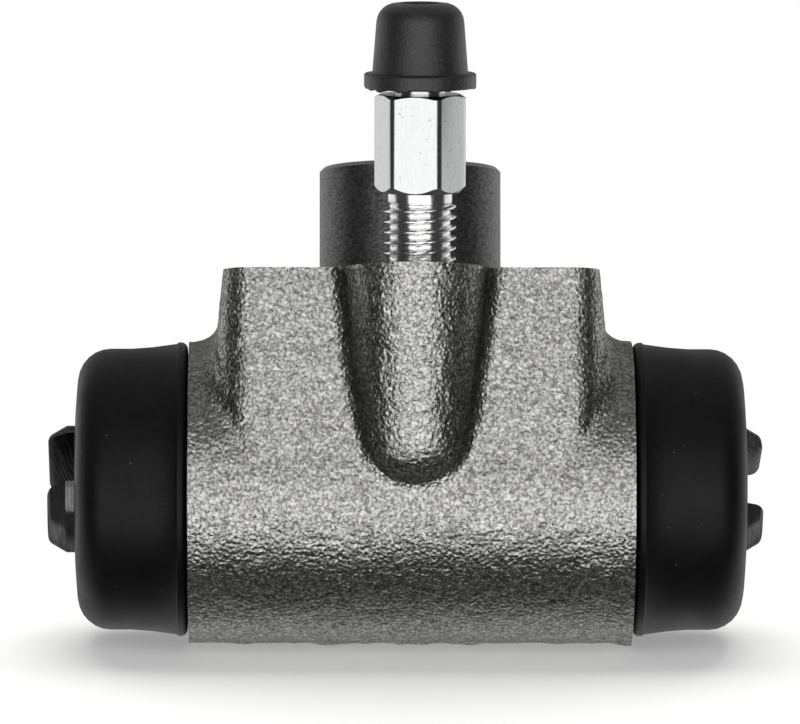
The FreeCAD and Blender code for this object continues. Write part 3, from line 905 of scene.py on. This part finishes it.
def make_cap(rubber):
    """Make the rubber cap, with its dimple, its flange and the ragged flash along the flange's rim."""
    foot = hex_foot + hex_length + cap_gap
    head = foot + cap_height
    flange = foot + cap_flange_height
    dimple_floor = head - cap_dimple_depth
    ceiling = hex_foot + hex_length + nipple_length + cap_headroom
    cap = turned("bleed_cap_rubber", [
        (cap_cavity_radius, foot), (cap_flange_radius, foot, cap_edge_round),
        (cap_flange_radius, flange, cap_edge_round), (cap_foot_radius, flange, cap_foot_round),
        (cap_head_radius, head, cap_corner), (cap_dimple_radius, head, cap_dimple_round),
        (cap_dimple_radius - cap_dimple_depth, dimple_floor, cap_edge_round), (0, dimple_floor),
        (0, ceiling), (cap_cavity_radius, ceiling)], [rubber], segments=144)
    for vertex in cap.data.vertices:
        place = vertex.co
        radius = math.hypot(place.x, place.y)
        angle = math.atan2(place.y, place.x)
        if radius > cap_flange_radius - flash_width and place.z < foot + flash_height:
            vertex.co.z -= flash_tear * max(0.0, ring_noise(angle, *flash_ring) - flash_whole)
        if radius < cap_dimple_radius + cap_edge_round and place.z > head - cap_edge_round:
            vertex.co.z += dimple_wave * ring_noise(angle, *dimple_ring)
    finished(put(cap, on_bleed_axis()), angle=40)
    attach(cap, "bleed_cap")
    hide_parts("bleed_cap")
    return cap


def make_piston(name, side, finishes):
    """Make a piston, its slotted nose towards the brake shoe. The finishes are turned and sawn."""
    end = piston_outer_end
    groove_end = lip_groove_start + lip_groove_width
    piston = turned(name + "_piston_steel", [
        (0, piston_inner_end), (skirt_radius - piston_chamfer, piston_inner_end),
        (skirt_radius, piston_inner_end + piston_chamfer), (skirt_radius, piston_shoulder - piston_chamfer),
        (skirt_radius - piston_chamfer, piston_shoulder), (nose_radius, piston_shoulder),
        (nose_radius, lip_groove_start), (lip_groove_radius, lip_groove_start),
        (lip_groove_radius, groove_end), (nose_radius, groove_end),
        (nose_radius, end - nose_slope_length, nose_slope_round), (nose_face_radius, end, nose_corner),
        (0, end)], finishes)
    put(piston, on_bore(side))
    # The slot's mouth is rounded off towards the end of the nose
    half = slot_width / 2
    lip = slot_depth - slot_lip
    mouth = lip + slot_mouth_flare
    slot = prism("slot", rounded([
        (0, -half), (lip, -half, slot_mouth_round), (mouth, -half - slot_mouth_flare),
        (mouth, half + slot_mouth_flare), (lip, half, slot_mouth_round), (0, half)]),
        -slot_half_length, slot_half_length, finishes)
    put(slot, Matrix.Rotation(math.pi / 2, 4, "X"))
    put(slot, Matrix.Translation((end - slot_depth, 0, 0)))
    put(slot, Matrix.Rotation(slot_angles[name], 4, "X"))
    put(slot, Matrix.Translation((0, 0, bore_height)) @ Matrix.Rotation(math.pi * (side < 0), 4, "Z"))
    combine(piston, "DIFFERENCE", paint(slot, sawn_slot))
    put(piston, Matrix.Translation((piston_shift, 0, 0)))
    soften = piston.modifiers.new("soften", "BEVEL")
    soften.width = piston_edge_round
    soften.segments = 2
    soften.limit_method = "ANGLE"
    soften.angle_limit = math.radians(45)
    finished(settle(piston), angle=35)
    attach(piston, name + "_piston")
    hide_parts(name + "_piston")
    return piston


def make_boot(name, side, rubber):
    """Make a rubber boot: its shell, and its folded lip, which rides on the piston."""
    foot = body_half + boot_gap
    shoulder = foot + boot_bead_width
    bead_inside = bead_groove_radius + boot_fit
    bead_end = body_half + bead_groove_width - boot_fit
    spigot = spigot_radius + boot_fit
    waist_inside = boot_waist_radius - boot_wall
    crown_inside = boot_end - boot_crown - boot_wall
    seam = boot_seam_radius
    shell = turned(name + "_boot_shell", [
        (bead_inside, foot), (boot_bead_radius, foot, boot_bead_round),
        (boot_bead_radius, shoulder, boot_shoulder_round), (boot_foot_radius, shoulder + boot_shoulder_rise),
        (boot_waist_radius + boot_shoulder_rise, boot_waist_place - boot_waist_lead),
        (boot_waist_radius, boot_waist_place), (boot_waist_radius, boot_waist_place + boot_waist_length),
        (boot_waist_radius, boot_end - boot_crown, boot_corner),
        (seam + boot_crest_width, boot_end - boot_crest_fall), (seam, boot_end),
        (seam, boot_end - boot_seam_depth), (seam + boot_wall / 2, crown_inside),
        (waist_inside, crown_inside, boot_corner - boot_wall), (waist_inside, boot_waist_place),
        (spigot, spigot_end), (spigot, bead_end), (bead_inside, bead_end)], [rubber], segments=128)
    nose = nose_radius + boot_nose_gap
    lip_inside = lip_groove_radius + boot_fit
    lip_start = lip_groove_start + side * piston_shift + boot_fit
    lip_end = lip_start + lip_groove_width - 2 * boot_fit
    lip = turned(name + "_boot_lip", [
        (seam + boot_seam_lap, boot_end - boot_seam_drop), (boot_lip_crest, boot_end, boot_lip_crest_round),
        (nose, boot_end - boot_lip_fold), (nose, lip_end), (lip_inside, lip_end), (lip_inside, lip_start),
        (nose + boot_lip_wall, lip_start, boot_lip_round),
        (seam + boot_seam_lap, boot_end - boot_seam_depth + boot_fit)], [rubber], segments=128)
    for part in (shell, lip):
        finished(put(part, on_bore(side)), angle=40)
    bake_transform(shell)
    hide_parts(name + "_boot")
    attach(lip, name + "_cup_set")
    return shell, lip


def make_spring(name, side, steel):
    """Make one half of the return spring, between the middle and the cup at its end."""
    open_length = 2 * spring_half_length - 2 * spring_end_turns * spring_closed_pitch
    pitch = open_length / (spring_turns - 2 * spring_end_turns)
    half = grown(name + "_spring_half", coil_tree, wire=spring_wire_radius, radius=spring_radius,
                 first=spring_turns / 2 * (side > 0), turns=spring_turns / 2, all_turns=spring_turns,
                 end_turns=spring_end_turns, closed=spring_closed_pitch, pitch=pitch,
                 start=-spring_half_length, points=spring_points, finish=steel)
    finished(put(half, Matrix.Translation((piston_shift, 0, 0)) @ on_bore(1)), angle=60)
    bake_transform(half)
    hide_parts("spring")
    return half


def make_camera():
    """Put the camera where the photograph was taken from."""
    camera = bpy.data.objects.new("camera", bpy.data.cameras.new("camera"))
    camera.data.lens = camera_lens
    camera.data.sensor_width = 36.0
    camera.data.clip_start = 0.01
    camera.data.clip_end = 20.0
    camera.location = camera_place * MM
    camera.rotation_euler = (camera_target - camera_place).to_track_quat("-Z", "Y").to_euler()
    bpy.context.scene.collection.objects.link(camera)
    bpy.context.scene.camera = camera


def make_lamp(name, place, size, power, mirrored):
    """Hang a soft lamp that faces the object, with its place and size in metres and its power in watts.

    Metal shows it only if it is said to be mirrored.
    """
    lamp = bpy.data.objects.new(name, bpy.data.lights.new(name, "AREA"))
    lamp.data.shape = "RECTANGLE"
    lamp.data.size, lamp.data.size_y = size
    lamp.data.energy = power
    lamp.location = place
    lamp.visible_camera = False
    lamp.visible_glossy = mirrored
    lamp.rotation_euler = (lamp_target * MM - Vector(place)).to_track_quat("-Z", "Y").to_euler()
    bpy.context.scene.collection.objects.link(lamp)


def make_world():
    """Light the object softly. The camera sees white, and metal sees white behind and dark sides."""
    world = bpy.data.worlds.new("studio")
    bpy.context.scene.world = world
    world.use_nodes = True
    tree = world.node_tree
    direction = add(tree, "ShaderNodeTexCoord").outputs["Generated"]
    parts = add(tree, "ShaderNodeSeparateXYZ", [direction]).outputs
    # What metal sees: a white backdrop that starts beside the object, grows brighter behind it, and
    # fades straight behind, below and overhead, and a dim table and ceiling where it is darker. Each
    # row is an axis of the direction, two places along it, the strengths there and how they meet.
    mirrored = 1.0
    for axis, start, end, first, second, kind, operation in (
            ("Y", 0.04, 0.22, 0.0, 1.0, "SMOOTHSTEP", "MULTIPLY"),
            ("Y", 0.0, 0.65, 0.7, 0.95, "LINEAR", "MULTIPLY"),
            ("Y", 0.85, 1.0, 1.0, 0.28, "LINEAR", "MULTIPLY"),
            ("Z", -1.0, -0.62, 0.25, 1.1, "LINEAR", "MULTIPLY"),
            ("Z", 0.1, 0.55, 1.0, 0.35, "SMOOTHSTEP", "MULTIPLY"),
            ("Z", -1.0, -0.3, 0.08, 0.05, "LINEAR", "MAXIMUM"),
            ("Z", 0.5, 0.85, 0.0, 0.28, "LINEAR", "MAXIMUM")):
        ramp = add(tree, RAMP, [parts[axis], start, end, first, second], interpolation_type=kind)
        mirrored = add(tree, MATH, [mirrored, ramp], operation=operation)
    rays = add(tree, "ShaderNodeLightPath").outputs
    shiny = add(tree, MATH, [rays["Is Glossy Ray"], rays["Is Transmission Ray"]], operation="MAXIMUM")
    soft = add(tree, MIX, {0: shiny, 2: fill_light, 3: mirrored}, data_type="FLOAT")
    strength = add(tree, MIX, {0: rays["Is Camera Ray"], 2: soft, 3: 1.0}, data_type="FLOAT")
    tree.links.new(strength.outputs[0], tree.nodes["Background"].inputs["Strength"])
    tree.nodes["Background"].inputs["Color"].default_value = linear("#ffffff")


def make_floor():
    """Make the pale floor, a sweep that falls towards the camera from a low ridge behind the object."""
    contact = bore_height - barrel_drop - (barrel_radius + floor_gap) * math.hypot(1, floor_slope)
    ridge_height = contact + floor_ridge * floor_slope
    behind = contact - floor_step
    places = [(-floor_reach, floor_low), (-floor_foot_length, floor_low),
              (-floor_bend_length, contact - floor_bend_fall * floor_slope),
              (-floor_fall_length, contact - floor_fall_length * floor_slope), (0, contact),
              (floor_ridge, ridge_height), (floor_ridge_top, ridge_height + floor_step),
              (floor_ridge_back, behind), (floor_level_start, behind), (floor_reach, behind)]
    points = [(x, y, z) for x in (-floor_reach, floor_reach) for y, z in places]
    count = len(places)
    faces = [(i, i + count, i + count + 1, i + 1) for i in range(count - 1)]
    material, tree, shader, place = start_material("white_paper_sweep", 0.95)
    shader.inputs["Base Color"].default_value = linear("#dadad9")
    shader.inputs["Emission Color"].default_value = linear("#ffffff")
    # Far from the object the camera sees plain white paper, as it does in a retouched picture
    distance = add(tree, "ShaderNodeVectorMath", [place], operation="LENGTH").outputs["Value"]
    bright = add(tree, RAMP, [distance, 0.1, 0.22, 0.28, 1.0], interpolation_type="SMOOTHSTEP")
    seen = add(tree, "ShaderNodeLightPath").outputs["Is Camera Ray"]
    glow = add(tree, MATH, [seen, bright], operation="MULTIPLY")
    tree.links.new(glow.outputs[0], shader.inputs["Emission Strength"])
    floor = finished(make_piece("floor", points, faces, [material]), angle=60)
    if floor.data.polygons[0].normal.z < 0:
        floor.data.flip_normals()
    floor.visible_glossy = False


bpy.context.scene.view_settings.view_transform = "Standard"
make_camera()
make_world()
make_floor()
make_lamp("upper_softbox", (-0.02, -0.93, 0.243), (1.65, 0.6), 3.5, True)
make_lamp("lower_softbox", (-0.02, -0.897, -0.395), (1.65, 0.782), 7.0, True)
make_lamp("top_softbox", (0.0, 0.15, 0.95), (0.9, 0.9), 11.0, False)

rod_tree = thread_tree()
coil_tree = spring_tree()

cast_skin = shot_blasted_cast_iron()
# The mounting face shows straight lines from front to back, and the spigots fine rings
milled = worked_metal("milled_cast_iron", ("#77777a", "#a3a3a3"), (0.15, 3.0, 0.15), 0.35, 0.006)
turned_iron = worked_metal("turned_cast_iron", ("#6e6e70", "#9b9b9b"), (0.12, 4.0, 4.0), 0.32, 0.006)
# The pilot is dark, dull and coarse, and the bore pale and smooth
pilot_iron = worked_metal("turned_pilot_iron", ("#464647", "#747475"), (0.5, 0.5, 0.28), 0.42, 0.05)
honed = worked_metal("honed_bore_iron", ("#8a8a8c", "#b5b5b5"), (0.2, 1.5, 1.5), 0.2, 0.003)
# Rolling leaves the thread brighter than the hexagon's flats
zinc_steel = bright_zinc_steel("bright_zinc_steel", ("#bdbebe", "#cacbca"))
rolled_zinc = bright_zinc_steel("rolled_zinc_steel", ("#dcdddd", "#ebebea"))
# The cap is matt and grainy, the boots are smooth and nearly black, and the oiled cups shine a little
cap_rubber = moulded_rubber("moulded_cap_rubber", ("#050505", "#252525"), 0.4, 0.72, 0.24, 0.06)
boot_rubber = moulded_rubber("moulded_boot_rubber", ("#070708", "#0d0d0e"), 0.45, 0.2, 0.6, 0.006)
cup_rubber = moulded_rubber("moulded_cup_rubber", ("#141414", "#1d1d1d"), 0.35, 0.5, 0.4, 0.004)
# The turned nose is grey and even, and the sawn slot darker, with coarse lines that catch the light
dark_steel = phosphated_steel("phosphated_turned_steel", 0.0, ("#4c4c4d", "#6a6a6b"), "#8a8a8a", 0.004)
sawn_steel = phosphated_steel("phosphated_sawn_steel", -0.3, ("#0a0a0b", "#38383a"), "#bcbcbc", 0.08)
# The expanders are pale and faintly dappled, and the spring is darker
pressed_steel = worked_metal("pressed_zinc_steel", ("#a8a8aa", "#cfcfcf"), (0.8, 0.8, 0.8), 0.3, 0.004)
spring_steel = worked_metal("drawn_spring_steel", ("#5a5a5c", "#8e8e90"), (0.6, 0.6, 0.6), 0.32, 0.004)

make_casting([cast_skin, milled, turned_iron, pilot_iron, honed])
make_screw([zinc_steel, rolled_zinc])
make_cap(cap_rubber)
for end_name, end_side in (("left", -1), ("right", 1)):
    make_piston(end_name, end_side, [dark_steel, sawn_steel])
    make_boot(end_name, end_side, boot_rubber)
    make_spring(end_name, end_side, spring_steel)
    for inner_part, finish in (("_cup", cup_rubber), ("_expander", pressed_steel)):
        inner = frame["nodes"][end_name + inner_part]
        inner.data.materials.clear()
        inner.data.materials.append(finish)
